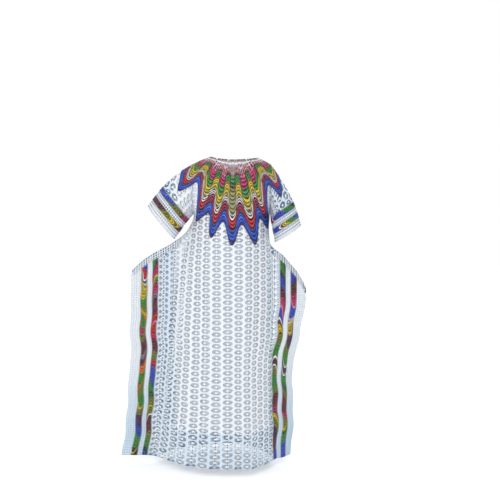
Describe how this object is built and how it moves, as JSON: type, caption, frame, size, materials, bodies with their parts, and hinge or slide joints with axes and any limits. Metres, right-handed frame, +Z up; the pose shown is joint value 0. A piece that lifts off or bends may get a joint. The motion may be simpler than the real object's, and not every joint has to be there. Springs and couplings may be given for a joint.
{
  "type": "grand boubou robe",
  "caption": "Full-length wide boubou robe in white eyelet lace, worn with its side wings held out, with a scalloped sunburst print yoke, printed bands and short open sleeves.",
  "frame": {"origin": "where the wearer's shoulders carry the robe: level with the side points of the neckline, in the middle of the neck", "axes": "+X to the wearer's left, +Y to the back, +Z up"},
  "size_m": [0.8426, 0.3553, 1.3414],
  "materials": {
    "eyelet_lace": "white cotton eyelet lace with an openwork eye motif",
    "border_lace": "white lace with a fine grid of square holes",
    "printed_cotton": "matt cotton printed in blue, red, green, yellow, black and white",
    "lining_cloth": "plain matt white lining"
  },
  "bodies": {
    "root": {"back_panel": "eyelet_lace", "back_lining": "lining_cloth", "back_left_border": "border_lace", "back_left_band_outer": "printed_cotton", "back_left_band_inner": "printed_cotton", "back_left_opening_trim": "border_lace", "back_right_border": "border_lace", "back_right_band_outer": "printed_cotton", "back_right_band_inner": "printed_cotton", "back_right_opening_trim": "border_lace", "front_panel": "eyelet_lace", "front_lining": "lining_cloth", "front_left_border": "border_lace", "front_left_band_outer": "printed_cotton", "front_left_band_inner": "printed_cotton", "front_left_opening_trim": "border_lace", "front_right_border": "border_lace", "front_right_band_outer": "printed_cotton", "front_right_band_inner": "printed_cotton", "front_right_opening_trim": "border_lace", "left_sleeve": "eyelet_lace", "left_sleeve_border": "border_lace", "left_sleeve_band_outer": "printed_cotton", "left_sleeve_band_inner": "printed_cotton", "right_sleeve": "eyelet_lace", "right_sleeve_border": "border_lace", "right_sleeve_band_outer": "printed_cotton", "right_sleeve_band_inner": "printed_cotton", "yoke": "printed_cotton", "neck_binding": "printed_cotton"}
  },
  "joints": []
}
